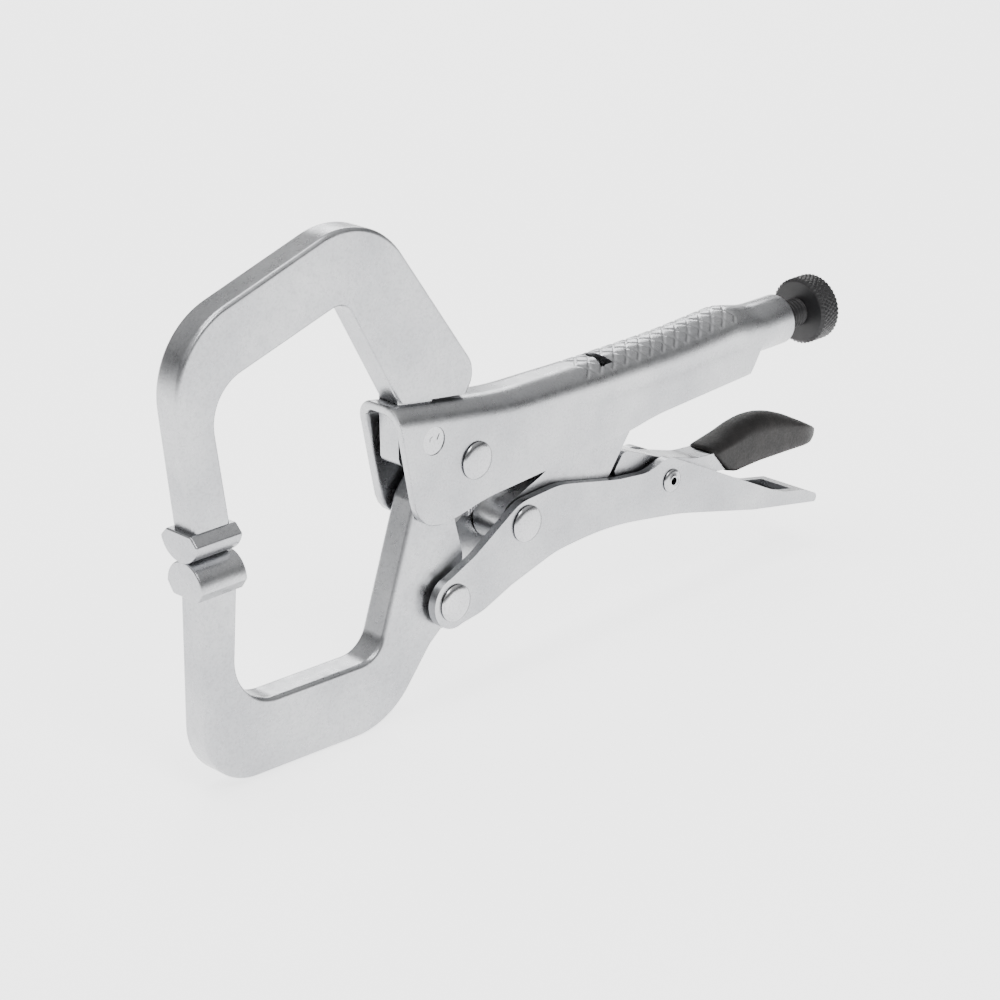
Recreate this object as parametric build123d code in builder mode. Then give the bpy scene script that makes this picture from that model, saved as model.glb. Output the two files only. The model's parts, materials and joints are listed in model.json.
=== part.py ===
from build123d import *
import math
import os

# Locking C-clamp pliers, 280 mm class, closed and locked.
# The tool lies in the XZ plane: the jaws point to -X, the adjusting knob to +X, and Y runs across
# the thickness. Outlines are drawn in millimetres from the jaw pivot, with u along X and v along Z.

# Overall extents from the jaw pivot, which put the origin at the centre of the tool.
JAW_LEFT = -106.625
SLEEVE_RIGHT = 171.006
JAW_TOP = 79.539
JAW_BOTTOM = -76.912
PIVOT_X = -(JAW_LEFT + SLEEVE_RIGHT) / 2
PIVOT_Z = -(JAW_TOP + JAW_BOTTOM) / 2

# Sheet metal, forgings and clearances.
BODY_WIDTH = 18.6
BODY_SHEET = 3.0
LEVER_SHEET = 2.8
JAW_THICK = 10.0
JAW_EDGE = 1.5
LINK_THICK = 12.0
RELEASE_THICK = 10.6
RELEASE_SHEET = 2.0
RUNNING = 0.06

# Pivot centres, from the jaw pivot.
JAW_PIVOT = (0.0, 0.0)
LEVER_PIVOT = (-9.7, -43.2)
LINK_PIVOT = (21.1, -26.5)
RELEASE_PIVOT = (87.8, -31.0)
FIXING_PIN = (-17.1, 10.6)
LINK_NOSE = (75.8, 4.6)
LINK_NOSE_R = 5.0

# Rivets: shank radius, head radius, head height.
MAIN_RIVET = (3.2, 5.9, 1.7)
SMALL_RIVET = (2.4, 3.9, 1.2)
TUBE_RIVET_HOLE = 1.3
PIN_R = 3.0
PIN_HEAD_R = 4.3
PIN_HEAD_DEPTH = 1.0

# Adjusting screw and the tube at the end of the body.
SCREW_Z = 7.3
THREAD_R = 5.0
SCREW_TIP_R = 4.0
SCREW_TIP_LENGTH = 4.0
NOSE_GAP = 5.6
TUBE_R = 8.5
TUBE_START = 127.0
TUBE_END = 150.0
KNOB_LEFT = 161.2
KNOB_RIGHT = 170.2
KNOB_R = 11.3
KNOB_SEAT_R = 3.6

# Jaw pads: they meet on the line v = PAD_MEET.
PAD_MEET = -4.0
PAD_GAP = 0.06
PAD_LENGTH = 16.4

# Spring.
SPRING_R = 3.2
SPRING_WIRE_R = 0.55
SPRING_LOW = (-3.4, -21.8)
SPRING_HIGH = (59.4, 11.0)


def side(y=0.0):
    """The plane of the tool's profile at a given y, with the jaw pivot as its origin."""
    return Plane(origin=(PIVOT_X, y, PIVOT_Z), x_dir=(1, 0, 0), z_dir=(0, -1, 0))


def across(u, v):
    """A plane facing +X whose origin is at (u, v) of the profile."""
    return Plane(origin=(PIVOT_X + u, 0, PIVOT_Z + v), x_dir=(0, 1, 0), z_dir=(1, 0, 0))


def outline(corners):
    """Adds a closed outline to the current sketch from (u, v, fillet radius) corners."""
    with BuildLine() as wire:
        FilletPolyline(
            *[(u, v) for u, v, _ in corners], radius=[r for *_, r in corners], close=True
        )
    make_face(wire.line.edges())


def flat_edges(part, width):
    """The edges of a plate's two flat faces."""
    faces = part.faces().filter_by(Axis.Y).filter_by(lambda f: abs(f.center().Y) > width / 2 - 0.01)
    return faces.edges()


def finish(part, name):
    """Labels one piece and writes its file."""
    part.label = name
    export_step(part, f"parts/{name}.step")


def headed_rivet(centre, width, sizes, hole=0.0):
    """A rivet across the tool with a low domed head on both sides, drilled if hole is set."""
    shank, head, height = sizes
    dome = (head**2 + height**2) / (2 * height)
    with BuildPart() as rivet:
        with BuildSketch(side()):
            with Locations(centre):
                Circle(shank)
        extrude(amount=width / 2 + 0.2, both=True)
        for y in (-1, 1):
            plane = Plane(
                origin=(PIVOT_X + centre[0], y * width / 2, PIVOT_Z + centre[1]),
                x_dir=(1, 0, 0),
                z_dir=(0, y, 0),
            )
            with BuildSketch(plane.rotated((90, 0, 0))):
                with BuildLine() as wire:
                    Polyline((0, 0), (head, 0))
                    ThreePointArc(
                        (head, 0),
                        (head / 2, math.sqrt(dome**2 - head**2 / 4) - dome + height),
                        (0, height),
                    )
                    Line((0, height), (0, 0))
                make_face(wire.line.edges())
            revolve(axis=Axis(plane.origin, plane.z_dir))
        if hole:
            with BuildSketch(side()):
                with Locations(centre):
                    Circle(hole)
            extrude(amount=width, both=True, mode=Mode.SUBTRACT)
    return rivet.part


os.makedirs("parts", exist_ok=True)

# ---------------------------------------------------------------- body shell
BODY_OUTLINE = [
    (-30.9, 23.5, 0.0),
    (16.0, 16.6, 40.0),
    (50.0, 16.2, 90.0),
    (90.0, 16.9, 90.0),
    (121.0, 18.9, 12.0),
    (132.6, 16.2, 0.0),
    (133.0, 3.0, 1.0),
    (127.0, -4.5, 1.0),
    (80.0, -7.0, 20.0),
    (67.0, -9.2, 30.0),
    (20.0, -12.6, 60.0),
    (4.0, -13.6, 30.0),
    (-8.0, -16.2, 20.0),
    (-23.1, -17.3, 10.5),
]
ROOF_LINE = [(-34.0, 20.9), (16.0, 13.6), (50.0, 13.2), (90.0, 13.9), (118.0, 15.6), (127.0, 13.0)]
TANG_SLOT = ((-26.6, -12.6), 8.0)
HOOK_SLOT_U = 60.0

with BuildPart() as body_shell:
    with BuildSketch(side()):
        outline(BODY_OUTLINE)
    extrude(amount=BODY_WIDTH / 2, both=True)
    roof_edges = flat_edges(body_shell.part, BODY_WIDTH).filter_by(
        lambda e: e.center().Z > PIVOT_Z + 15.2 and e.length > 4
    )
    fillet(roof_edges, radius=7.0)
    with BuildSketch(across(TUBE_START, SCREW_Z)):
        Circle(TUBE_R)
    extrude(amount=TUBE_END - TUBE_START)
    with BuildSketch(side()):
        outline([(u, v, 0.0) for u, v in ROOF_LINE] + [(127.0, -40.0, 0.0), (-34.0, -40.0, 0.0)])
    extrude(amount=BODY_WIDTH / 2 - BODY_SHEET, both=True, mode=Mode.SUBTRACT)
    with BuildSketch(across(TUBE_START - 6, SCREW_Z)):
        Circle(THREAD_R + RUNNING)
    extrude(amount=TUBE_END, mode=Mode.SUBTRACT)
    with BuildSketch(side()):
        with Locations(JAW_PIVOT):
            Circle(MAIN_RIVET[0])
        with Locations(FIXING_PIN):
            Circle(PIN_R)
    extrude(amount=BODY_WIDTH, both=True, mode=Mode.SUBTRACT)
    for y in (-1, 1):
        with BuildSketch(side(y * BODY_WIDTH / 2)):
            with Locations(FIXING_PIN):
                Circle(PIN_HEAD_R)
        extrude(amount=y * PIN_HEAD_DEPTH, mode=Mode.SUBTRACT)
    roof = Plane(origin=(PIVOT_X, 0, PIVOT_Z + 30), x_dir=(1, 0, 0), z_dir=(0, 0, -1))
    with BuildSketch(roof):
        (slot_left, slot_right), slot_width = TANG_SLOT
        with Locations(((slot_left + slot_right) / 2, 0)):
            Rectangle(slot_right - slot_left + 0.2, slot_width + 0.2)
        with Locations((HOOK_SLOT_U, 0)):
            SlotOverall(10.0, 4.6, rotation=90)
    extrude(amount=22.0, mode=Mode.SUBTRACT)
finish(body_shell.part, "body_shell")

# ---------------------------------------------------------------- upper jaw
UPPER_JAW = [
    (-103.0, 5.1, 0.0),
    (-108.6, 60.5, 26.0),
    (-35.3, 84.4, 27.0),
    (3.6, 29.0, 8.0),
    (3.6, 23.6, 8.0),
    (0.9, 19.7, 0.0),
    (-25.9, 23.2, 0.0),
    (-45.2, 58.8, 6.8),
    (-95.2, 43.4, 14.0),
    (-90.2, 5.1, 0.0),
]
TANG = [(-26.4, 26.0, 0.0), (-12.8, 26.0, 0.0), (-12.8, 3.0, 3.0), (-26.4, 3.0, 3.0)]

with BuildPart() as upper_jaw:
    with BuildSketch(side()):
        outline(UPPER_JAW)
    extrude(amount=JAW_THICK / 2, both=True)
    seat_line = PIVOT_Z + 5.4
    rounded = flat_edges(upper_jaw.part, JAW_THICK).filter_by(lambda e: e.center().Z > seat_line)
    base = rounded.filter_by(lambda e: e.center().Z < PIVOT_Z + 22 and e.center().X < PIVOT_X + 4)
    fillet(rounded - base, radius=JAW_EDGE)
    with BuildSketch(side()):
        outline(TANG)
    extrude(amount=TANG_SLOT[1] / 2, both=True)
    with BuildSketch(side()):
        with Locations(FIXING_PIN):
            Circle(PIN_R)
    extrude(amount=BODY_WIDTH, both=True, mode=Mode.SUBTRACT)
finish(upper_jaw.part, "upper_jaw")

with BuildPart() as jaw_fixing_pin:
    with BuildSketch(side()):
        with Locations(FIXING_PIN):
            Circle(PIN_R)
    extrude(amount=BODY_WIDTH / 2 - 0.3, both=True)
    for y in (-1, 1):
        with BuildSketch(side(y * (BODY_WIDTH / 2 - PIN_HEAD_DEPTH))):
            with Locations(FIXING_PIN):
                Circle(PIN_HEAD_R)
        extrude(amount=-y * (PIN_HEAD_DEPTH - 0.3))
finish(jaw_fixing_pin.part, "jaw_fixing_pin")


# ---------------------------------------------------------------- jaw pads
def pad(left, crest, rim, seat, reach, neck):
    """A half-moon pad across a jaw's end: its crest runs along X and its rim overhangs the jaw."""
    with BuildPart() as piece:
        with BuildSketch(across(left, 0)):
            with BuildLine() as wire:
                Polyline((reach, rim), (neck, seat), (-neck, seat), (-reach, rim))
                ThreePointArc((-reach, rim), (0, crest), (reach, rim))
            make_face(wire.line.edges())
        extrude(amount=PAD_LENGTH)
    return piece.part


upper_pad = pad(-105.0, PAD_MEET + PAD_GAP / 2, 2.4, 5.1, 8.0, 5.3)
finish(upper_pad, "upper_jaw_pad")
lower_pad = pad(-103.8, PAD_MEET - PAD_GAP / 2, -11.6, -15.0, 7.7, 5.3)
finish(lower_pad, "lower_jaw_pad")

# ---------------------------------------------------------------- lower jaw
LOWER_JAW = [
    (-101.7, -15.0, 0.0),
    (-103.4, -74.7, 19.0),
    (-33.2, -77.4, 27.0),
    (-15.9, -56.8, 6.0),
    (-9.7, -52.0, 0.0),
    (-2.6, -37.0, 0.0),
    (-2.2, -30.5, 6.0),
    (-5.8, -17.0, 4.0),
    (6.0, -8.0, 0.0),
    (-9.0, 6.0, 0.0),
    (-21.0, -8.0, 6.0),
    (-37.0, -54.0, 9.5),
    (-92.0, -52.2, 15.0),
    (-88.9, -15.0, 0.0),
]
JAW_LOBE_R = 11.4
LEVER_LOBE_R = 9.4

with BuildPart() as lower_jaw:
    with BuildSketch(side()):
        outline(LOWER_JAW)
        with Locations(JAW_PIVOT):
            Circle(JAW_LOBE_R)
        with Locations(LEVER_PIVOT):
            Circle(LEVER_LOBE_R)
    extrude(amount=JAW_THICK / 2, both=True)
    rounded = flat_edges(lower_jaw.part, JAW_THICK).filter_by(
        lambda e: e.center().Z < PIVOT_Z - 17 and e.center().X < PIVOT_X - 12
    )
    fillet(rounded, radius=JAW_EDGE)
    with BuildSketch(side()):
        with Locations(JAW_PIVOT, LEVER_PIVOT):
            Circle(MAIN_RIVET[0] + RUNNING)
    extrude(amount=BODY_WIDTH, both=True, mode=Mode.SUBTRACT)
finish(lower_jaw.part, "lower_jaw")

# ---------------------------------------------------------------- lever shell
LEVER_TOP = [
    (-13.2, -35.9, 0.0),
    (-1.0, -30.7, 30.0),
    (18.5, -19.0, 14.0),
    (36.0, -17.9, 30.0),
    (62.0, -23.6, 40.0),
    (76.5, -25.3, 16.0),
    (86.3, -22.4, 9.0),
    (104.0, -31.0, 40.0),
    (143.5, -50.9, 25.0),
    (157.5, -53.9, 5.0),
    (164.2, -57.2, 1.8),
    (162.9, -59.7, 1.0),
]
LEVER_BOTTOM = [
    (130.0, -53.4, 120.0),
    (92.0, -43.7, 120.0),
    (58.0, -38.2, 120.0),
    (34.0, -39.6, 40.0),
]
LEVER_FRONT = [
    (14.5, -44.9, 40.0),
    (2.0, -49.7, 20.0),
    (-9.7, -51.4, 0.0),
]
LEVER_END_R = 8.3
WEB_START = 22.0
CHANNEL_END = 153.0
LEVER_INNER = BODY_WIDTH / 2 - LEVER_SHEET

with BuildPart() as lever_shell:
    with BuildSketch(side()):
        outline(LEVER_TOP + LEVER_BOTTOM + LEVER_FRONT)
        with Locations(LEVER_PIVOT):
            Circle(LEVER_END_R)
    extrude(amount=BODY_WIDTH / 2, both=True)
    with BuildSketch(side()):
        web_top = [(u, v + LEVER_SHEET, 0.0) for u, v, _ in LEVER_BOTTOM]
        outline(
            [(WEB_START, -70.0, 0.0), (-40.0, -70.0, 0.0), (-40.0, 0.0, 0.0), (180.0, 0.0, 0.0)]
            + [(CHANNEL_END, -45.0, 0.0), (CHANNEL_END, -54.9, 0.0)]
            + web_top
            + [(WEB_START, web_top[-1][1], 0.0)]
        )
    extrude(amount=LEVER_INNER, both=True, mode=Mode.SUBTRACT)
    with BuildSketch(side()):
        with Locations(LEVER_PIVOT, LINK_PIVOT):
            Circle(MAIN_RIVET[0])
        with Locations(RELEASE_PIVOT):
            Circle(SMALL_RIVET[0])
    extrude(amount=BODY_WIDTH, both=True, mode=Mode.SUBTRACT)
finish(lever_shell.part, "lever_shell")

# ---------------------------------------------------------------- toggle link
LINK = [
    (17.9, -19.1, 0.0),
    (31.0, -14.4, 20.0),
    (73.4, 9.0, 0.0),
    (80.0, 1.9, 0.0),
    (71.0, -10.6, 10.0),
    (60.5, -24.2, 4.0),
    (44.0, -27.0, 20.0),
    (25.0, -33.6, 0.0),
]

with BuildPart() as toggle_link:
    with BuildSketch(side()):
        outline(LINK)
        with Locations(LINK_PIVOT):
            Circle(8.1)
        with Locations(LINK_NOSE):
            Circle(LINK_NOSE_R)
    extrude(amount=LINK_THICK / 2, both=True)
    with BuildSketch(side()):
        with Locations(LINK_PIVOT):
            Circle(MAIN_RIVET[0] + RUNNING)
    extrude(amount=BODY_WIDTH, both=True, mode=Mode.SUBTRACT)
finish(toggle_link.part, "toggle_link")

# ---------------------------------------------------------------- release lever and sleeve
RELEASE = [
    (64.5, -23.0, 2.0),
    (69.5, -16.6, 3.0),
    (86.0, -23.4, 20.0),
    (104.0, -28.8, 20.0),
    (150.0, -33.0, 10.0),
    (162.0, -36.2, 0.8),
    (162.0, -38.0, 0.8),
    (120.0, -37.0, 40.0),
    (104.0, -35.2, 20.0),
    (88.0, -37.8, 7.0),
    (72.0, -33.0, 5.0),
]
RELEASE_HOLLOW = [(60.0, -25.0), (72.0, -20.2), (86.0, -25.8), (104.0, -31.0), (104.0, -42.0), (60.0, -42.0)]
SLEEVE = [
    (112.4, -29.2, 1.2),
    (137.0, -22.4, 16.0),
    (153.0, -27.6, 30.0),
    (169.5, -35.6, 4.0),
    (171.4, -37.5, 1.2),
    (169.4, -40.1, 1.5),
    (136.0, -38.8, 60.0),
    (119.8, -39.4, 1.5),
    (115.0, -36.0, 1.0),
]
SLEEVE_THICK = 12.6

with BuildPart() as release_lever:
    with BuildSketch(side()):
        outline(RELEASE)
    extrude(amount=RELEASE_THICK / 2, both=True)
    with BuildSketch(side()):
        outline([(u, v, 0.0) for u, v in RELEASE_HOLLOW])
    extrude(amount=RELEASE_THICK / 2 - RELEASE_SHEET, both=True, mode=Mode.SUBTRACT)
    with BuildSketch(side()):
        with Locations(RELEASE_PIVOT):
            Circle(SMALL_RIVET[0] + RUNNING)
    extrude(amount=BODY_WIDTH, both=True, mode=Mode.SUBTRACT)
finish(release_lever.part, "release_lever")

with BuildPart() as release_sleeve:
    with BuildSketch(side()):
        outline(SLEEVE)
    extrude(amount=SLEEVE_THICK / 2, both=True)
    fillet(flat_edges(release_sleeve.part, SLEEVE_THICK), radius=1.1)
    with BuildSketch(side()):
        outline(RELEASE)
    extrude(amount=RELEASE_THICK / 2, both=True, mode=Mode.SUBTRACT)
finish(release_sleeve.part, "release_sleeve")

# ---------------------------------------------------------------- rivets
finish(headed_rivet(JAW_PIVOT, BODY_WIDTH, MAIN_RIVET), "jaw_pivot_rivet")
finish(headed_rivet(LEVER_PIVOT, BODY_WIDTH, MAIN_RIVET), "lever_jaw_rivet")
finish(headed_rivet(LINK_PIVOT, BODY_WIDTH, MAIN_RIVET), "link_rivet")
finish(headed_rivet(RELEASE_PIVOT, BODY_WIDTH, SMALL_RIVET, TUBE_RIVET_HOLE), "release_rivet")

# ---------------------------------------------------------------- adjusting screw and knob
TIP_LEFT = LINK_NOSE[0] + LINK_NOSE_R + NOSE_GAP

with BuildPart() as adjusting_screw:
    with BuildSketch(across(TIP_LEFT, SCREW_Z)):
        Circle(SCREW_TIP_R)
    extrude(amount=SCREW_TIP_LENGTH)
    with BuildSketch(across(TIP_LEFT + SCREW_TIP_LENGTH, SCREW_Z)):
        Circle(THREAD_R)
    extrude(amount=KNOB_LEFT - TIP_LEFT - SCREW_TIP_LENGTH)
    with BuildSketch(across(KNOB_LEFT, SCREW_Z)):
        Circle(KNOB_SEAT_R)
    extrude(amount=KNOB_RIGHT - KNOB_LEFT - 0.6)
finish(adjusting_screw.part, "adjusting_screw")

with BuildPart() as adjusting_knob:
    with BuildSketch(across(KNOB_LEFT + 0.05, SCREW_Z)):
        Circle(KNOB_R)
    extrude(amount=KNOB_RIGHT - KNOB_LEFT - 0.05)
    chamfer(adjusting_knob.edges().filter_by(GeomType.CIRCLE), length=0.8)
    with BuildSketch(across(KNOB_LEFT, SCREW_Z)):
        Circle(KNOB_SEAT_R + RUNNING)
    extrude(amount=KNOB_R * 2, mode=Mode.SUBTRACT)
finish(adjusting_knob.part, "adjusting_knob")

# ---------------------------------------------------------------- tension spring
low = Vector(PIVOT_X + SPRING_LOW[0], 0, PIVOT_Z + SPRING_LOW[1])
high = Vector(PIVOT_X + SPRING_HIGH[0], 0, PIVOT_Z + SPRING_HIGH[1])
spring_plane = Plane(origin=low, z_dir=high - low)
coil_end = (high - low).length

with BuildPart() as tension_spring:
    with BuildSketch(spring_plane.offset(6.0)):
        Circle(SPRING_R)
        Circle(SPRING_R - 2 * SPRING_WIRE_R, mode=Mode.SUBTRACT)
    extrude(amount=coil_end - 12.0)
    with BuildSketch(spring_plane.offset(2.0)):
        with Locations((0, SPRING_R - SPRING_WIRE_R)):
            Circle(SPRING_WIRE_R)
    extrude(amount=coil_end - 2.0)
finish(tension_spring.part, "tension_spring")
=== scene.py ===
"""Look of the locking C-clamp pliers: plated steel, black oxide screw and knob, black dipped sleeve."""
import json
import math

import bmesh
import bpy
from mathutils import Matrix, Vector


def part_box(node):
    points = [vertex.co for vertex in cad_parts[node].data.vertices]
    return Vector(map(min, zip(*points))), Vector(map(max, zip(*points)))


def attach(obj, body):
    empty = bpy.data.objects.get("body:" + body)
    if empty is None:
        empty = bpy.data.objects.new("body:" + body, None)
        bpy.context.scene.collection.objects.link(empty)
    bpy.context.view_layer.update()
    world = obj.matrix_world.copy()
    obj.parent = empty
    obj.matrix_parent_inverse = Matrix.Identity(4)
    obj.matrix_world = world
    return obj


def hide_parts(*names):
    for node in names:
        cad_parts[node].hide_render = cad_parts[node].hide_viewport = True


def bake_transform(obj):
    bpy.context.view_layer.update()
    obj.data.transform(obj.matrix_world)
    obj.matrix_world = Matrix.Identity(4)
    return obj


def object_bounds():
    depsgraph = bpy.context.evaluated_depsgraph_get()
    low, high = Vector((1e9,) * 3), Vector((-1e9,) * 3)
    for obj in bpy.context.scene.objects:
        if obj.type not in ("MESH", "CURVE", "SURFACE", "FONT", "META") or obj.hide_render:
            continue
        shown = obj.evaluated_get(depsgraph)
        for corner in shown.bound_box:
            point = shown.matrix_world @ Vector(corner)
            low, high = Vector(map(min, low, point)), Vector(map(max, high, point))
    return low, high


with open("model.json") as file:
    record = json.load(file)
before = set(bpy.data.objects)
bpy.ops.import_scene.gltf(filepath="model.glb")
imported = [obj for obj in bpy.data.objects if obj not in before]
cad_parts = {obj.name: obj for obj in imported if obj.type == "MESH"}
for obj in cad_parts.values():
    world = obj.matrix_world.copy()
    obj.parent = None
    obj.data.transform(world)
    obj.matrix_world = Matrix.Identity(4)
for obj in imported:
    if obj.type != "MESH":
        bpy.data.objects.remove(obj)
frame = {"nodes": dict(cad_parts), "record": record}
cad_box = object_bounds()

MM = 0.001
joints = {j["name"]: j for j in frame["record"]["behaviour"]["joints"]}
pivot = Vector(joints["jaw_swing"]["pos_m"])


def at(u, v, y=0.0):
    """A point given in millimetres from the jaw pivot, in the row frame."""
    return pivot + Vector((u, y, v)) * MM


# ---------------------------------------------------------------- camera
camera = bpy.data.cameras.new("camera")
camera.sensor_width = 36.0
camera.lens = 95.154
camera.clip_start, camera.clip_end = 0.05, 60.0
camera_object = bpy.data.objects.new("camera", camera)
bpy.context.collection.objects.link(camera_object)
right = Vector((0.70837, -0.70580, -0.00733)).normalized()
ahead = Vector((0.65397, 0.66019, -0.36941)).normalized()
up = right.cross(ahead).normalized()
facing = Matrix((right, up, -ahead)).transposed().to_4x4()
camera_object.matrix_world = Matrix.Translation(at(-511.97, 279.15, -535.90)) @ facing
bpy.context.scene.camera = camera_object


# ---------------------------------------------------------------- materials
class Nodes:
    """Short helpers to wire one material."""

    def __init__(self, name):
        self.material = bpy.data.materials.new(name)
        self.material.use_nodes = True
        self.tree = self.material.node_tree
        self.shader = self.tree.nodes["Principled BSDF"]
        self.place = self.add("ShaderNodeTexCoord").outputs["Object"]

    def add(self, kind, **values):
        """A new node, with settings or input values by name."""
        node = self.tree.nodes.new(kind)
        for key, value in values.items():
            if hasattr(node, key):
                setattr(node, key, value)
            else:
                node.inputs[key].default_value = value
        return node

    def link(self, source, target):
        """Wires an output to an input."""
        self.tree.links.new(source, target)

    def noise(self, scale, detail, roughness=0.55):
        """Noise with this many cells to the metre."""
        node = self.add("ShaderNodeTexNoise", Scale=scale, Detail=detail, Roughness=roughness)
        self.link(self.place, node.inputs["Vector"])
        return node.outputs["Fac"]

    def ramp(self, source, stops):
        """Source looked up in (place, grey or colour) stops."""
        node = self.add("ShaderNodeValToRGB")
        elements = node.color_ramp.elements
        while len(elements) < len(stops):
            elements.new(0.5)
        for element, (place, colour) in zip(elements, stops):
            element.position = place
            rgb = colour if isinstance(colour, tuple) else (colour, colour, colour)
            element.color = (*rgb, 1.0)
        self.link(source, node.inputs["Fac"])
        return node.outputs["Color"]

    def multiply(self, factor, first, second):
        """First times second, in part."""
        node = self.add("ShaderNodeMix", data_type="RGBA", blend_type="MULTIPLY")
        node.inputs[0].default_value = factor
        self.link(first, node.inputs[6])
        self.link(second, node.inputs[7])
        return node.outputs[2]

    def bump(self, source, strength, distance, under=None):
        """Relief from source, distance deep in metres, over another relief if there is one."""
        node = self.add("ShaderNodeBump", Strength=strength, Distance=distance)
        self.link(source, node.inputs["Height"])
        if under:
            self.link(under, node.inputs["Normal"])
        return node.outputs["Normal"]


def metal(name, light, dark, rough, grain, grain_depth, metallic=1.0, specular=0.5):
    """Coated metal: a slow drift and fine grain in tone, rubbed spots in gloss, and fine relief."""
    n = Nodes(name)
    drift = n.noise(38.0, 3.0)
    speck = n.noise(grain, 3.0, 0.7)
    handling = n.noise(240.0, 5.0, 0.7)
    tone = n.ramp(drift, [(0.3, dark), (0.7, light)])
    specks = n.ramp(speck, [(0.34, 0.66), (0.50, 0.92), (0.66, 1.0)])
    n.link(n.multiply(0.55, tone, specks), n.shader.inputs["Base Color"])
    gloss = n.ramp(handling, [(0.28, rough - 0.06), (0.52, rough), (0.75, rough + 0.09)])
    n.link(gloss, n.shader.inputs["Roughness"])
    under = n.bump(handling, 0.3, 0.00007)
    n.link(n.bump(speck, 0.5, grain_depth, under), n.shader.inputs["Normal"])
    n.shader.inputs["Metallic"].default_value = metallic
    n.shader.inputs["Specular IOR Level"].default_value = specular
    return n.material


plate = metal("plated_steel", (0.45, 0.455, 0.465), (0.34, 0.345, 0.36), 0.30, 1300.0, 0.00006)
bright = metal("rivet_steel", (0.54, 0.54, 0.55), (0.38, 0.385, 0.40), 0.19, 1300.0, 0.00004)
black = metal("black_oxide", (0.030, 0.028, 0.029), (0.012, 0.012, 0.013), 0.40, 1800.0, 0.00003, 0.0, 0.28)
wire = metal("spring_steel", (0.50, 0.50, 0.52), (0.38, 0.38, 0.40), 0.30, 1500.0, 0.00001)


def vinyl():
    """Dipped black sleeve: matte with a fine leathery skin and slightly polished high spots."""
    n = Nodes("black_sleeve")
    skin = n.noise(1500.0, 6.0, 0.6)
    folds = n.noise(220.0, 3.0, 0.5)
    tone = n.ramp(folds, [(0.3, (0.006, 0.0055, 0.0055)), (0.75, (0.016, 0.0145, 0.014))])
    n.link(tone, n.shader.inputs["Base Color"])
    n.link(n.ramp(skin, [(0.3, 0.48), (0.7, 0.66)]), n.shader.inputs["Roughness"])
    under = n.bump(folds, 0.5, 0.0003)
    n.link(n.bump(skin, 0.8, 0.00012, under), n.shader.inputs["Normal"])
    n.shader.inputs["Specular IOR Level"].default_value = 0.28
    return n.material


looks = {
    "plated_steel": plate,
    "rivet_steel": bright,
    "black_oxide": black,
    "spring_steel": wire,
    "black_sleeve": vinyl(),
}
for part in frame["record"]["subparts"]:
    data = frame["nodes"][part["node"]].data
    data.materials.clear()
    data.materials.append(looks[part["material_slot"]])


def piece(name, vertices, faces, look, node, smooth):
    """A new mesh that stands for a CAD node, with edges under an angle in degrees shaded smooth."""
    mesh = bpy.data.meshes.new(name)
    mesh.from_pydata([tuple(v) for v in vertices], [], faces)
    mesh.validate()
    mesh.update()
    mesh.materials.append(looks[look])
    made = bpy.data.objects.new(name, mesh)
    bpy.context.collection.objects.link(made)
    tidy = bmesh.new()
    tidy.from_mesh(mesh)
    bmesh.ops.recalc_face_normals(tidy, faces=tidy.faces)
    for face in tidy.faces:
        face.smooth = True
    for edge in tidy.edges:
        edge.smooth = len(edge.link_faces) == 2 and edge.calc_face_angle(0.0) < math.radians(smooth)
    tidy.to_mesh(mesh)
    tidy.free()
    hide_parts(node)
    return made


def ring_faces(rings, around, closed=False):
    """Quads between neighbouring rings of points, and from the last ring to the first if closed."""
    faces = []
    for i in range(rings if closed else rings - 1):
        near, far = i * around, (i + 1) % rings * around
        for k in range(around):
            ahead_k = (k + 1) % around
            faces.append((near + k, near + ahead_k, far + ahead_k, far + k))
    return faces


def full_turn(around):
    """Angles evenly round a circle."""
    return [2 * math.pi * k / around for k in range(around)]


# ---------------------------------------------------------------- forged and pressed steel
# Millimetres to weld over and to find the flanks by, and degrees for flat and for sharp edges.
WELD = 0.004
FLANK_SLACK = 0.05
FLAT_ANGLE = 0.6
SHARP_ANGLE = 38
KEEL_START = 24


def round_over(work, edges, width, segments):
    """Rounds edges of a bmesh over a width in millimetres."""
    shape = {"segments": segments, "profile": 0.5, "affect": "EDGES", "clamp_overlap": True}
    bmesh.ops.bevel(work, geom=edges, offset=width * MM, **shape)


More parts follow.
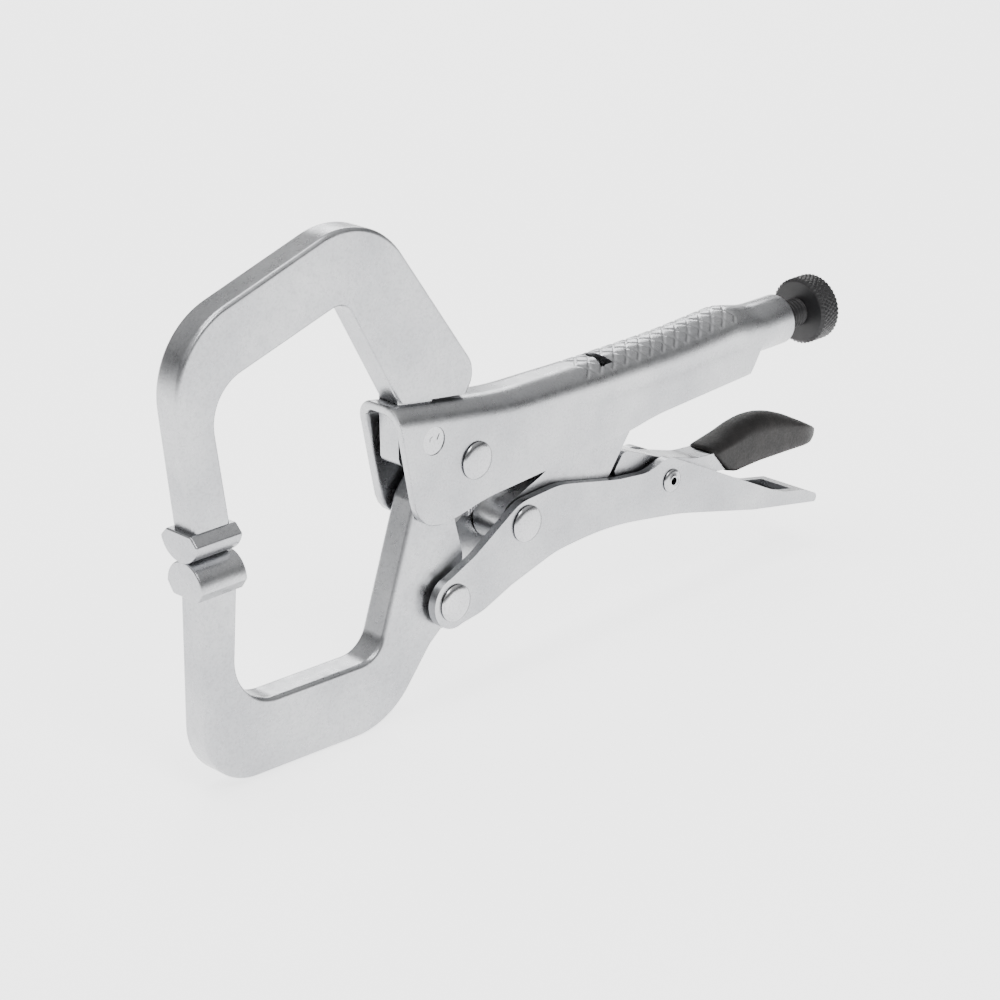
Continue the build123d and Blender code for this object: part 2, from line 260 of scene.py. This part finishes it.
def softened(name, node, body, width, keel=0.0):
    """A copy of a CAD node with its sharp edges rounded over, and the fold along its keel if it has one."""
    source = frame["nodes"][node]
    mesh = source.data.copy()
    mesh.name = name
    mesh.transform(source.matrix_world)
    if "custom_normal" in mesh.attributes:
        mesh.attributes.remove(mesh.attributes["custom_normal"])
    work = bmesh.new()
    work.from_mesh(mesh)
    bmesh.ops.remove_doubles(work, verts=work.verts, dist=WELD * MM)
    flat = math.radians(FLAT_ANGLE)
    bmesh.ops.dissolve_limit(work, angle_limit=flat, verts=work.verts, edges=work.edges)
    if keel:
        wide = max(abs(v.co.y) for v in work.verts) - FLANK_SLACK * MM
        fold = [
            e for e in work.edges
            if all(abs(v.co.y) > wide and v.co.x > at(KEEL_START, 0).x for v in e.verts)
            and len(e.link_faces) == 2
            and any(f.normal.z < -0.8 for f in e.link_faces)
            and any(abs(f.normal.y) > 0.9 for f in e.link_faces)
        ]
        round_over(work, fold, keel, 5)
    limit = math.radians(SHARP_ANGLE)
    sharp = [e for e in work.edges if len(e.link_faces) == 2 and e.calc_face_angle(0.0) > limit]
    round_over(work, sharp, width, 3)
    vertices = [v.co.copy() for v in work.verts]
    work.verts.index_update()
    faces = [[v.index for v in f.verts] for f in work.faces]
    work.free()
    bpy.data.meshes.remove(mesh)
    made = piece(name, vertices, faces, "plated_steel", node, 42.0)
    even = made.modifiers.new("even", "WEIGHTED_NORMAL")
    even.keep_sharp = True
    even.weight = 90
    bpy.context.view_layer.update()
    depsgraph = bpy.context.evaluated_depsgraph_get()
    shaded = bpy.data.meshes.new_from_object(made.evaluated_get(depsgraph))
    made.modifiers.clear()
    unshaded = made.data
    made.data = shaded
    bpy.data.meshes.remove(unshaded)
    shaded.name = name
    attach(made, body)


softened("upper_jaw_forging", "upper_jaw", "body", 0.5)
softened("lower_jaw_forging", "lower_jaw", "jaw", 0.5)
softened("upper_pad_rounded", "upper_jaw_pad", "body", 1.1)
softened("lower_pad_rounded", "lower_jaw_pad", "jaw", 1.1)
softened("lever_pressing", "lever_shell", "lever", 0.5, 2.3)
softened("link_bar", "toggle_link", "link", 0.8)
softened("release_pressing", "release_lever", "release", 0.5)


# ---------------------------------------------------------------- body shell
# Sheet thickness, half width and rounded sheet edge.
SHEET = 3.0
HALF = 9.3
SHEET_EDGE = 0.8
# Lines of the crown and of the cheeks' lower edge, as (u, v).
ROOF = [
    (-45.0, 25.6),
    (-30.9, 23.5),
    (16.0, 16.6),
    (50.0, 16.2),
    (90.0, 16.9),
    (120.0, 18.7),
    (133.0, 15.9),
    (150.0, 15.6),
]
CHEEK = [
    (-8.0, -16.2),
    (4.0, -13.6),
    (20.0, -12.6),
    (67.0, -9.2),
    (80.0, -7.0),
    (127.0, -4.5),
    (133.0, 3.0),
    (140.0, 7.0),
]
# The front edge: its top corner, how far it leans back for each millimetre down, and its round.
FRONT_TOP = (-30.9, 23.5)
LEAN = 0.191
CORNER = (-14.55, -6.15, 10.5)
# Behind MERGE every section stands square to X.
MERGE = 8.0
SHELL_END = 137.0
# The rolled knurl: start, end and reach round the crown; spacing; slope of its lines, and the share of
# a distance along u that is square to them; depth; half width.
KNURL = (48.5, 121.5, 9.2)
KNURL_STEP = 5.8
KNURL_SLOPE = 0.95
KNURL_SQUARE = 0.72
KNURL_DEPTH = 0.3
KNURL_HALF = 0.5
# The soft flute along the cheeks, under the knurl.
FLUTE_DEPTH = 0.4
FLUTE_LEVEL = 2.2
FLUTE_WIDTH = 1.9


def height(line, u, reach):
    """Height of a line of (u, v) points at u, evened out over a reach on both sides."""
    total = 0.0
    for step in range(-4, 5):
        x = u + reach * step / 4
        for (a, low_v), (b, high_v) in zip(line, line[1:]):
            if x <= b or b == line[-1][0]:
                total += low_v + (high_v - low_v) * (x - a) / (b - a)
                break
    return total / 9


def along(points, share):
    """The point at a share of a polyline's length."""
    lengths = [math.dist(a, b) for a, b in zip(points, points[1:])]
    goal = share * sum(lengths)
    for (a, b), length in zip(zip(points, points[1:]), lengths):
        if goal <= length + 1e-9:
            return Vector(a).lerp(Vector(b), goal / length if length else 0.0)
        goal -= length
    return Vector(points[-1])


def smoothstep(low_end, high_end, value):
    """0 below low_end, 1 above high_end, smooth between."""
    t = min(1.0, max(0.0, (value - low_end) / (high_end - low_end)))
    return t * t * (3 - 2 * t)


def roof_v(u):
    """Height of the crown."""
    middle = smoothstep(-24, 10, u) * (1 - smoothstep(104, 118, u))
    return height(ROOF, u, 1.0 + 7.0 * middle + 2.0 * smoothstep(112, 124, u))


def cheek_v(u):
    """Height of the cheeks' lower edge."""
    return height(CHEEK, u, 4.5 * (1 - smoothstep(112, 124, u)) + 0.3)


def corner_radius(u):
    """Radius between crown and cheek: 7 mm at the front, and a full round where the tube starts."""
    return 7.0 + 2.3 * smoothstep(20.0, 110.0, u) - smoothstep(124.0, SHELL_END, u)


def half_width(u):
    """Half the width, which draws in to meet the tube."""
    return HALF - smoothstep(124.0, SHELL_END, u)


def front_corner(first, last):
    """Points of the round at the front lower corner of a cheek, between two angles in degrees."""
    u, v, r = CORNER
    angles = [math.radians(first + (last - first) * i / 8) for i in range(9)]
    return [(u + r * math.cos(a), v + r * math.sin(a)) for a in angles]


# The front part of a cheek lies between four lines: its front edge, the section at MERGE, its lower
# edge and the lower end of the round to the crown. The middle of the corner's round is where two meet.
front_r = corner_radius(FRONT_TOP[0])
front_line = front_corner(232.5, 190.8) + [(FRONT_TOP[0] + LEAN * front_r, FRONT_TOP[1] - front_r)]
merge_line = [(MERGE, cheek_v(MERGE)), (MERGE, roof_v(MERGE) - front_r)]
lower_line = front_corner(232.5, 274.2) + [(u, cheek_v(u)) for u in (-8, -4, 0, 4)] + [merge_line[0]]
upper_line = [front_line[-1]] + [(u, roof_v(u) - front_r) for u in (-20, -10, 0)] + [merge_line[1]]
front_length = MERGE - front_line[-1][0]


def cheek_point(share, level):
    """A point of a cheek's front part, at a share of its length and a level over its lower edge."""
    edges = along(front_line, level) * (1 - share) + along(merge_line, level) * share
    edges += along(lower_line, share) * (1 - level) + along(upper_line, share) * level
    corners = Vector(front_line[0]) * (1 - share) * (1 - level) + Vector(merge_line[0]) * share * (1 - level)
    corners += Vector(front_line[-1]) * (1 - share) * level + Vector(merge_line[1]) * share * level
    return edges - corners


def knurl_depth(u, s):
    """Depth of the two crossing families of rolled grooves at u along the roof and s round it."""
    first_u, last_u, reach = KNURL
    inside = smoothstep(first_u, first_u + 0.8, u) * (1 - smoothstep(last_u - 0.8, last_u, u))
    inside *= 1 - smoothstep(reach - 0.8, reach, abs(s))
    if not inside:
        return 0.0
    deepest = 0.0
    for slope in (KNURL_SLOPE, -KNURL_SLOPE):
        along_u = abs(((u + slope * s) / KNURL_STEP + 0.5) % 1.0 - 0.5) * KNURL_STEP
        away = along_u * KNURL_SQUARE
        deepest = max(deepest, 1 - (away / KNURL_HALF) ** 2)
    return KNURL_DEPTH * deepest * inside


# How finely half a section is divided on the crown, the round and the cheek.
FLAT_STEPS = 5
ROUND_STEPS = 26
CHEEK_STEPS = 11


def half_section():
    """Half a section from the crown to the lower edge, as (part, place in it, inset of the sheet's edge)."""
    stations = [("flat", i / FLAT_STEPS, 0.0) for i in range(FLAT_STEPS)]
    stations += [("round", i / ROUND_STEPS, 0.0) for i in range(ROUND_STEPS)]
    stations += [("cheek", i / CHEEK_STEPS, 0.0) for i in range(CHEEK_STEPS + 1)]
    return stations + [("edge", 0.24, 0.24), ("edge", 0.0, SHEET_EDGE)]


def crown_point(u, share, part, place):
    """Outer point of the crown or its round, its outward direction in (y, v), and its distance round."""
    r = corner_radius(u)
    flat_half = half_width(u) - r
    turn = place * math.pi / 2 if part == "round" else 0.0
    drop = r - r * math.cos(turn)
    y = flat_half + r * math.sin(turn) if part == "round" else flat_half * place
    s = flat_half + r * turn if part == "round" else flat_half * place
    out = (math.sin(turn), math.cos(turn))
    if share is None:
        return Vector((u, y, roof_v(u) - drop)), out, s
    base = along(upper_line, share)
    leaned_u = base.x - LEAN * (front_r - drop) * (1 - share)
    rise = (roof_v(leaned_u) - roof_v(base.x)) * (1 - drop / r)
    return Vector((leaned_u, y, base.y + front_r - drop + rise)), out, s


def side_point(u, share, part, place):
    """Outer point of a cheek."""
    high_v = roof_v(u) - corner_radius(u)
    low_v = cheek_v(u)
    if share is not None:
        high_v, low_v = along(upper_line, share).y, along(lower_line, share).y
    span = max(1.0, high_v - low_v)
    level = 1 - place * (1 - SHEET_EDGE / span) if part == "cheek" else place / span
    if share is not None:
        found = cheek_point(share, level)
        return Vector((found.x, half_width(u), found.y))
    v = low_v + (high_v - low_v) * level
    reach = smoothstep(30, 60, u) * (1 - smoothstep(118, 130, u))
    flute = FLUTE_DEPTH * reach * math.exp(-((high_v - v - FLUTE_LEVEL) / FLUTE_WIDTH) ** 2)
    return Vector((u, half_width(u) - flute, v))


def mirrored(row):
    """A row of (u, y, v) points on the other side of the tool's middle plane."""
    return [Vector((p.x, -p.y, p.z)) for p in row]


def body_section(u, share=None, inset=0.0):
    """One closed ring of the body shell: outer path, lower edge, inner path, lower edge."""
    outer, inner = [], []
    for part, place, edge_inset in half_section():
        trim = max(inset, edge_inset)
        groove = 0.0
        if part in ("flat", "round"):
            point, (out_y, out_v), s = crown_point(u, share, part, place)
            groove = knurl_depth(u, s) if share is None else 0.0
        else:
            point, (out_y, out_v) = side_point(u, share, part, place), (1.0, 0.0)
        for row, depth in ((outer, trim + groove), (inner, SHEET - trim)):
            row.append(Vector((point.x, point.y - out_y * depth, point.z - out_v * depth)))
    return mirrored(outer[1:])[::-1] + outer + inner[::-1] + mirrored(inner[1:])


def body_shell():
    """The folded shell as one closed mesh, from its front edge to its end inside the tube's wall."""
    rows = []
    offsets = [(0.0, SHEET_EDGE), (0.24, 0.24)]
    offsets += [(back, 0.0) for back in (0.8, 2, 4, 7, 10, 13, 16, 19, 22, 25, 28, 31, 34)]
    for back, inset in offsets:
        share = back / front_length
        rows.append(body_section(along(upper_line, share).x, share, inset))
    u = MERGE
    while u < SHELL_END:
        rows.append(body_section(u))
        u += 0.36 if KNURL[0] - 1 < u < KNURL[1] + 0.5 else 1.5
    size = len(rows[0])
    vertices = [at(p.x, p.z, p.y) for row in rows for p in row]
    faces = ring_faces(len(rows), size)
    outer_count = 2 * len(half_section()) - 1
    for base in (0, (len(rows) - 1) * size):
        for k in range(outer_count - 1):
            other = size - 1 - k
            faces.append((base + k, base + k + 1, base + (other - 1), base + other))
    return vertices, faces


def ring_shell(profile, around, centre_v):
    """A closed turned solid along +X from (u, radius) points that go round its wall."""
    vertices = [
        at(u, centre_v + radius * math.sin(a), radius * math.cos(a))
        for u, radius in profile
        for a in full_turn(around)
    ]
    return vertices, ring_faces(len(profile), around, closed=True)


def prism(points, low_level, high_level):
    """A closed prism: points in a plane, extruded between two levels along the third axis."""
    count = len(points)
    vertices = [(a, b, low_level) for a, b in points] + [(a, b, high_level) for a, b in points]
    faces = [tuple(range(count))[::-1], tuple(range(count, 2 * count))]
    faces += [(k, (k + 1) % count, (k + 1) % count + count, k + count) for k in range(count)]
    return vertices, faces


def disc(centre, radius):
    """Points round a circle."""
    return [(centre[0] + radius * math.cos(a), centre[1] + radius * math.sin(a)) for a in full_turn(40)]


def plain_mesh(name, vertices, faces):
    """A closed mesh object to cut, or to cut with."""
    mesh = bpy.data.meshes.new(name)
    mesh.from_pydata([tuple(v) for v in vertices], [], faces)
    work = bmesh.new()
    work.from_mesh(mesh)
    bmesh.ops.recalc_face_normals(work, faces=work.faces)
    work.to_mesh(mesh)
    work.free()
    made = bpy.data.objects.new(name, mesh)
    bpy.context.collection.objects.link(made)
    return made


def cut(vertices, faces, cutters):
    """The solid less each cutter, as vertices and faces."""
    solid = plain_mesh("cut_solid", vertices, faces)
    tools = [plain_mesh("cut_tool", *cutter) for cutter in cutters]
    for tool in tools:
        change = solid.modifiers.new("cut", "BOOLEAN")
        change.operation = "DIFFERENCE"
        change.solver = "EXACT"
        change.object = tool
    bpy.context.view_layer.update()
    depsgraph = bpy.context.evaluated_depsgraph_get()
    result = solid.evaluated_get(depsgraph).to_mesh()
    vertices = [v.co.copy() for v in result.vertices]
    faces = [tuple(f.vertices) for f in result.polygons]
    for made in [solid] + tools:
        mesh = made.data
        bpy.data.objects.remove(made)
        bpy.data.meshes.remove(mesh)
    return vertices, faces


def across_prism(centre, radius, low_y, high_y):
    """A cylinder across the tool, as a cutter."""
    points, faces = prism(disc(centre, radius), low_y, high_y)
    return [at(u, v, y) for u, v, y in points], faces


def upright_prism(outline_points, low_v, high_v):
    """A prism along Z from (u, y) points, as a cutter."""
    points, faces = prism(outline_points, low_v, high_v)
    return [at(u, v, y) for u, y, v in points], faces


# The upper jaw's flush pin: its axis as (u, v), the radii of its shank and ends, and where the ends start.
FIXING = (-17.1, 10.6)
PIN_SHANK = 2.98
PIN_END = 4.25
PIN_SEAT = 8.3
# The bow-tie slot: middle, half width at the waist and at the ends, half length of waist and slot.
slot_u, waist, flare, waist_half, slot_half = 60.0, 1.6, 2.6, 1.6, 6.2
slot_points = [
    (slot_u - flare, -slot_half),
    (slot_u + flare, -slot_half),
    (slot_u + waist, -waist_half),
    (slot_u + waist, waist_half),
    (slot_u + flare, slot_half),
    (slot_u - flare, slot_half),
    (slot_u - waist, waist_half),
    (slot_u - waist, -waist_half),
]
tang_points = [(-26.6, -4.05), (-12.6, -4.05), (-12.6, 4.05), (-26.6, 4.05)]
cutters = [
    upright_prism(slot_points, 11.0, 30.0),
    upright_prism(tang_points, 12.0, 34.0),
    across_prism((0.0, 0.0), 3.25, -12.0, 12.0),
    across_prism(FIXING, PIN_SHANK + 0.07, -12.0, 12.0),
    across_prism(FIXING, PIN_END + 0.1, -12.0, -PIN_SEAT),
    across_prism(FIXING, PIN_END + 0.1, PIN_SEAT, 12.0),
]
shell = piece("body_pressing", *cut(*body_shell(), cutters), "plated_steel", "body_shell", 40.0)
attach(shell, "body")


def fixing_pin():
    """The flush pin of the upper jaw: a shank and two wide ends, staked with two small V dents each."""
    vertices, faces = [], []
    for side_y in (-1, 1):
        dents = []
        for direction in (0.6, 2.5):
            centre = (FIXING[0] + 1.7 * math.cos(direction), FIXING[1] + 1.7 * math.sin(direction))
            wedge = [
                (centre[0] + reach * math.cos(direction + a), centre[1] + reach * math.sin(direction + a))
                for reach, a in ((1.5, 0.0), (1.3, 2.2), (0.3, math.pi), (1.3, -2.2))
            ]
            points, dent_faces = prism(wedge, side_y * 8.65 - 0.15, side_y * 9.3 + 0.15)
            dents.append(([at(u, v, y) for u, v, y in points], dent_faces))
        head = across_prism(FIXING, PIN_END, *sorted((side_y * PIN_SEAT, side_y * 9.0)))
        found, found_faces = cut(*head, dents)
        faces += [tuple(k + len(vertices) for k in f) for f in found_faces]
        vertices += found
    shank, shank_faces = across_prism(FIXING, PIN_SHANK, -8.28, 8.28)
    faces += [tuple(k + len(vertices) for k in f) for f in shank_faces]
    return vertices + shank, faces


pin = piece("fixing_pin_ends", *fixing_pin(), "rivet_steel", "jaw_fixing_pin", 30.0)
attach(pin, "body")
# The wall of the tube behind the shell, as (u, radius).
tube_wall = [
    (127.0, 8.5),
    (149.3, 8.5),
    (149.8, 8.3),
    (150.0, 7.8),
    (150.0, 5.9),
    (149.8, 5.4),
    (149.3, 5.15),
    (127.0, 5.15),
]
tube = piece("body_tube", *ring_shell(tube_wall, 72, 7.3), "plated_steel", "body_shell", 50.0)
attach(tube, "body")


# ---------------------------------------------------------------- rivets
# Shank radius, head radius and rise of the head over the sheet.
MAIN_RIVET = (3.2, 5.9, 1.7)
SMALL_RIVET = (2.4, 3.9, 1.2)
# The dome of a head, as shares of its rise and of its radius.
DOME = [(0.30, 1.0), (0.52, 0.96), (0.78, 0.76), (0.94, 0.48)]
CENTRE_WELD = 0.001


def turned_rivet(name, node, body, shank_r, head_r, rise, hole=0.0):
    """A rivet turned about its own axis across the tool: each domed head stands on a thin undercut."""
    low_corner, high_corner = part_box(node)
    centre = (low_corner + high_corner) / 2
    around = 64
    head = [(HALF, shank_r), (HALF + 0.12, head_r * 0.88), (HALF + 0.22, head_r * 0.97)]
    head += [(HALF + rise * up_share, head_r * out_share) for up_share, out_share in DOME]
    if hole:
        head += [(HALF + rise, hole + 0.5), (HALF + rise * 0.9, hole)]
    else:
        head += [(HALF + rise, head_r * 0.24), (HALF + rise * 0.95, head_r * 0.1), (HALF + rise * 0.94, 0.0)]
    profile = [(-y, r) for y, r in head[::-1]] + head
    vertices = [
        centre + Vector((radius * math.cos(a), y, radius * math.sin(a))) * MM
        for y, radius in profile
        for a in full_turn(around)
    ]
    faces = ring_faces(len(profile), around, closed=bool(hole))
    made = piece(name, vertices, faces, "rivet_steel", node, 50.0)
    work = bmesh.new()
    work.from_mesh(made.data)
    bmesh.ops.remove_doubles(work, verts=work.verts, dist=CENTRE_WELD * MM)
    work.to_mesh(made.data)
    work.free()
    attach(made, body)


turned_rivet("jaw_pivot_head", "jaw_pivot_rivet", "body", *MAIN_RIVET)
turned_rivet("lever_jaw_head", "lever_jaw_rivet", "lever", *MAIN_RIVET)
turned_rivet("link_head", "link_rivet", "lever", *MAIN_RIVET)
turned_rivet("release_head", "release_rivet", "lever", *SMALL_RIVET, hole=1.3)

# ---------------------------------------------------------------- dipped sleeve
# Its crest, the ridge along each flank and its belly, as (u, v); then its half width, and how far the
# foot of its front lies behind the top.
CREST = [
    (112.0, -28.3),
    (118.0, -26.9),
    (124.0, -25.5),
    (129.0, -23.8),
    (135.0, -22.8),
    (141.0, -23.2),
    (147.0, -24.7),
    (154.0, -27.4),
    (161.0, -31.0),
    (167.0, -34.2),
    (171.0, -36.6),
]
RIDGE = [
    (112.0, -30.4),
    (116.2, -29.8),
    (130.5, -28.6),
    (146.2, -29.9),
    (160.2, -32.2),
    (167.0, -35.0),
    (171.0, -37.0),
]
BELLY = [
    (112.0, -37.6),
    (119.1, -39.1),
    (136.0, -38.7),
    (153.0, -39.3),
    (165.0, -39.9),
    (169.4, -39.5),
    (171.0, -38.2),
]
SLEEVE_HALF = 6.3
FRONT_SLANT = 7.2


def sleeve_row(u, scale):
    """One ring of the sleeve: a rounded crown over straight flanks with a rounded belly."""
    crest, ridge, belly = (height(line, u, 1.6) for line in (CREST, RIDGE, BELLY))
    w = SLEEVE_HALF * math.sqrt(1 - smoothstep(156.0, 171.6, u) ** 2 * 0.9)
    middle = (crest + belly) / 2
    turns = [math.pi * i / 20 for i in range(11)]
    half = [(w * math.sin(a), ridge + (crest - ridge) * math.cos(a)) for a in turns]
    low_round = min(1.4, (ridge - belly) / 2)
    half += [(w, ridge + (belly + low_round - ridge) * i / 3) for i in (1, 2, 3)]
    half += [(w - low_round * 0.3, belly + low_round * 0.3), (w - low_round, belly)]
    half += [(w / 2, belly), (0.0, belly)]
    ring = []
    for y, v in half + [(-y, v) for y, v in half[1:-1][::-1]]:
        fall = min(1.0, max(0.0, (crest - v) / 9.5))
        slanted_u = u + FRONT_SLANT * fall * (1 - smoothstep(112.0, 132.0, u))
        ring.append(at(slanted_u, middle + (v - middle) * scale, y * scale))
    return ring


stations = [(112.2, 0.80), (112.3, 0.90), (112.8, 0.98), (113.6, 1.0)]
stations += [(115.0 + 2.0 * i, 1.0) for i in range(27)]
stations += [(168.4, 1.0), (169.6, 0.97), (170.4, 0.88), (170.85, 0.70)]
rows = [sleeve_row(u, scale) for u, scale in stations]
ring_size = len(rows[0])
sleeve_faces = ring_faces(len(rows), ring_size)
sleeve_faces.append(tuple(range(ring_size)))
sleeve_faces.append(tuple(range((len(rows) - 1) * ring_size, len(rows) * ring_size)))
sleeve_points = [v for row in rows for v in row]
sleeve = piece("dipped_sleeve", sleeve_points, sleeve_faces, "black_sleeve", "release_sleeve", 50.0)
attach(sleeve, "release")


# ---------------------------------------------------------------- tension spring
def spring(name, low_end, high_end, coil_r, wire_r, turns):
    """A coil between two points, with a lead and a small hook at each end."""
    start, end = at(*low_end), at(*high_end)
    axis = (end - start).normalized()
    side_way = Vector((0, 1, 0))
    up_way = axis.cross(side_way)
    length = (end - start).length
    lead = 6.0 * MM
    hook_r = 1.6 * MM
    hook_turns = [math.pi * (i / 8) * 1.3 for i in range(9)]
    per_turn = 14
    path = []
    for turned in hook_turns:
        a = turned - 1.2
        path.append(start + axis * hook_r * (1 - math.cos(a)) + up_way * hook_r * math.sin(a))
    steps = turns * per_turn
    for i in range(steps + 1):
        a = 2 * math.pi * i / per_turn
        place = start + axis * (lead + (length - 2 * lead) * i / steps)
        path.append(place + (up_way * math.cos(a) + side_way * math.sin(a)) * coil_r * MM)
    for turned in hook_turns:
        a = turned - 0.4
        path.append(end - axis * hook_r * (1 - math.cos(a)) + up_way * hook_r * math.sin(a))
    vertices = []
    sides = 6
    # The tilt keeps the wire's section from spinning where the path runs along the axis.
    tilt = side_way * 0.013
    for i, point in enumerate(path):
        ahead_way = (path[min(i + 1, len(path) - 1)] - path[max(i - 1, 0)]).normalized()
        across_way = ahead_way.cross(axis + tilt).normalized()
        third = ahead_way.cross(across_way)
        for a in full_turn(sides):
            vertices.append(point + (across_way * math.cos(a) + third * math.sin(a)) * wire_r * MM)
    faces = ring_faces(len(path), sides)
    faces.append(tuple(range(sides)))
    faces.append(tuple(range((len(path) - 1) * sides, len(path) * sides)))
    made = piece(name, vertices, faces, "spring_steel", "tension_spring", 60.0)
    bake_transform(made)


spring("spring_coil", (-3.4, -21.8), (59.4, 11.0), 2.6, 0.5, 46)


# ---------------------------------------------------------------- screw and knob
def thread(name, left, right_end, centre_v, crest, root, pitch, tip_length, tip_radius):
    """A screw along +X: a helical ridge on a core, with a plain tip at its left end."""
    around = 48
    per_turn = 10
    rows = []
    length = right_end - left - tip_length
    steps = int(length / pitch * per_turn)
    for i in range(steps + 1):
        x = length * i / steps
        ring = []
        for k, angle in enumerate(full_turn(around)):
            phase = (x / pitch - k / around) % 1.0
            ridge = 1 - abs(2 * phase - 1)
            shape = min(1.0, max(0.0, ridge * 1.5 - 0.25))
            fade = min(1.0, x / (2 * pitch), max(0.0, (length - x) / pitch))
            radius = root + (crest - root) * shape * fade
            ring.append((left + tip_length + x, radius * math.cos(angle), radius * math.sin(angle)))
        rows.append(ring)
    tip = []
    for x, radius in ((0.0, 0.0), (0.0, tip_radius - 0.5), (0.5, tip_radius), (tip_length, tip_radius)):
        tip.append([(left + x, radius * math.cos(a), radius * math.sin(a)) for a in full_turn(around)])
    rows = tip + rows
    vertices = [at(x, centre_v + z, y) for ring in rows for x, y, z in ring]
    faces = ring_faces(len(rows), around)
    last = (len(rows) - 1) * around
    faces.append(tuple(range(last, last + around)))
    made = piece(name, vertices, faces, "black_oxide", "adjusting_screw", 50.0)
    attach(made, "screw")


def knurled_knob(name, left, right_end, centre_v, radius):
    """A disc with a diamond-knurled rim and chamfered faces."""
    around = 320
    depth = 0.36
    columns = 28
    chamfer = 0.9
    flat_r = radius - chamfer
    width = right_end - left
    front = [(left, 0.0), (left, radius - 2.6), (left, flat_r - 0.2), (left + 0.12, flat_r)]
    rim = [(left + chamfer + (width - 2 * chamfer) * i / columns, radius) for i in range(columns + 1)]
    back = [(right_end - 0.12, flat_r), (right_end, flat_r - 0.2), (right_end, 4.0), (right_end, 0.0)]
    rows = []
    teeth = 44
    slope = 0.42
    half_groove = 0.42
    for x, r in front + rim + back:
        ring = []
        for angle in full_turn(around):
            reach = r
            if r == radius:
                tooth = angle * teeth / (2 * math.pi)
                one = abs(((tooth + x * slope) % 1.0) * 2 - 1)
                two = abs(((tooth - x * slope) % 1.0) * 2 - 1)
                reach = r - depth * max(0.0, 1 - min(one, two) / half_groove)
            ring.append((x, reach * math.cos(angle), reach * math.sin(angle)))
        rows.append(ring)
    vertices = [at(x, centre_v + z, y) for ring in rows for x, y, z in ring]
    faces = ring_faces(len(rows), around)
    made = piece(name, vertices, faces, "black_oxide", "adjusting_knob", 28.0)
    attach(made, "knob")


screw_low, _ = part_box("adjusting_screw")
knob_low, knob_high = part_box("adjusting_knob")
screw_v = ((knob_low.z + knob_high.z) / 2 - pivot.z) / MM
screw_left = (screw_low.x - pivot.x) / MM
knob_left = (knob_low.x - pivot.x) / MM
knob_right = (knob_high.x - pivot.x) / MM
knob_radius = (knob_high.y - knob_low.y) / 2 / MM
thread("screw_thread", screw_left, knob_left + 0.4, screw_v, 4.95, 4.15, 1.5, 4.0, 4.0)
knurled_knob("knob_knurled", knob_left, knob_right, screw_v, knob_radius)

# ---------------------------------------------------------------- floor, light
# A wide sheet just under the object, its half width and gap in metres.
FLOOR_HALF = 12.0
FLOOR_GAP = 0.0004
floor_mesh = bpy.data.meshes.new("floor")
low = cad_box[0].z - FLOOR_GAP
signs = [(-1, -1), (1, -1), (1, 1), (-1, 1)]
corners = [(sign_x * FLOOR_HALF, sign_y * FLOOR_HALF, low) for sign_x, sign_y in signs]
floor_mesh.from_pydata(corners, [], [(0, 1, 2, 3)])
floor = bpy.data.objects.new("floor", floor_mesh)
bpy.context.collection.objects.link(floor)
paper = Nodes("floor_paper")
paper.link(
    paper.ramp(paper.noise(3.0, 2.0), [(0.3, (0.90, 0.90, 0.90)), (0.7, (0.92, 0.92, 0.92))]),
    paper.shader.inputs["Base Color"],
)
paper.shader.inputs["Roughness"].default_value = 0.9
paper.shader.inputs["Emission Color"].default_value = (1.0, 1.0, 1.0, 1.0)
paper.shader.inputs["Emission Strength"].default_value = 2.2
floor_mesh.materials.append(paper.material)


def softbox(name, place, aim, size, power):
    """A rectangular area light at a place, aimed at a point."""
    light = bpy.data.lights.new(name, "AREA")
    light.shape = "RECTANGLE"
    light.size, light.size_y = size
    light.energy = power
    made = bpy.data.objects.new(name, light)
    bpy.context.collection.objects.link(made)
    made.location = place
    made.rotation_euler = (Vector(aim) - Vector(place)).to_track_quat("-Z", "Y").to_euler()


softbox("key", (-0.35, -1.0, 1.3), (0, 0, 0), (0.6, 0.6), 12.0)
softbox("rear", (1.2, 1.2, 0.8), (0, 0, 0), (1.0, 0.5), 12.0)
softbox("overhead", (-0.2, 0.1, 1.6), (0, 0, 0), (0.9, 0.9), 16.0)

# The room above the floor: pale at the horizon, dim just above it and bright overhead, so that the
# steel shows its form.
world = bpy.data.worlds.new("studio")
world.use_nodes = True
tree = world.node_tree
direction = tree.nodes.new("ShaderNodeTexCoord")
split = tree.nodes.new("ShaderNodeSeparateXYZ")
tone = tree.nodes.new("ShaderNodeValToRGB")
tree.links.new(direction.outputs["Generated"], split.inputs["Vector"])
tree.links.new(split.outputs["Z"], tone.inputs["Fac"])
stops = [(0.0, 0.85), (0.14, 0.7), (0.28, 0.12), (0.5, 0.6), (1.0, 1.0)]
while len(tone.color_ramp.elements) < len(stops):
    tone.color_ramp.elements.new(0.5)
for element, (place, value) in zip(tone.color_ramp.elements, stops):
    element.position = place
    element.color = (value, value, value, 1.0)
tree.links.new(tone.outputs["Color"], tree.nodes["Background"].inputs["Color"])
tree.nodes["Background"].inputs["Strength"].default_value = 1.0
bpy.context.scene.world = world
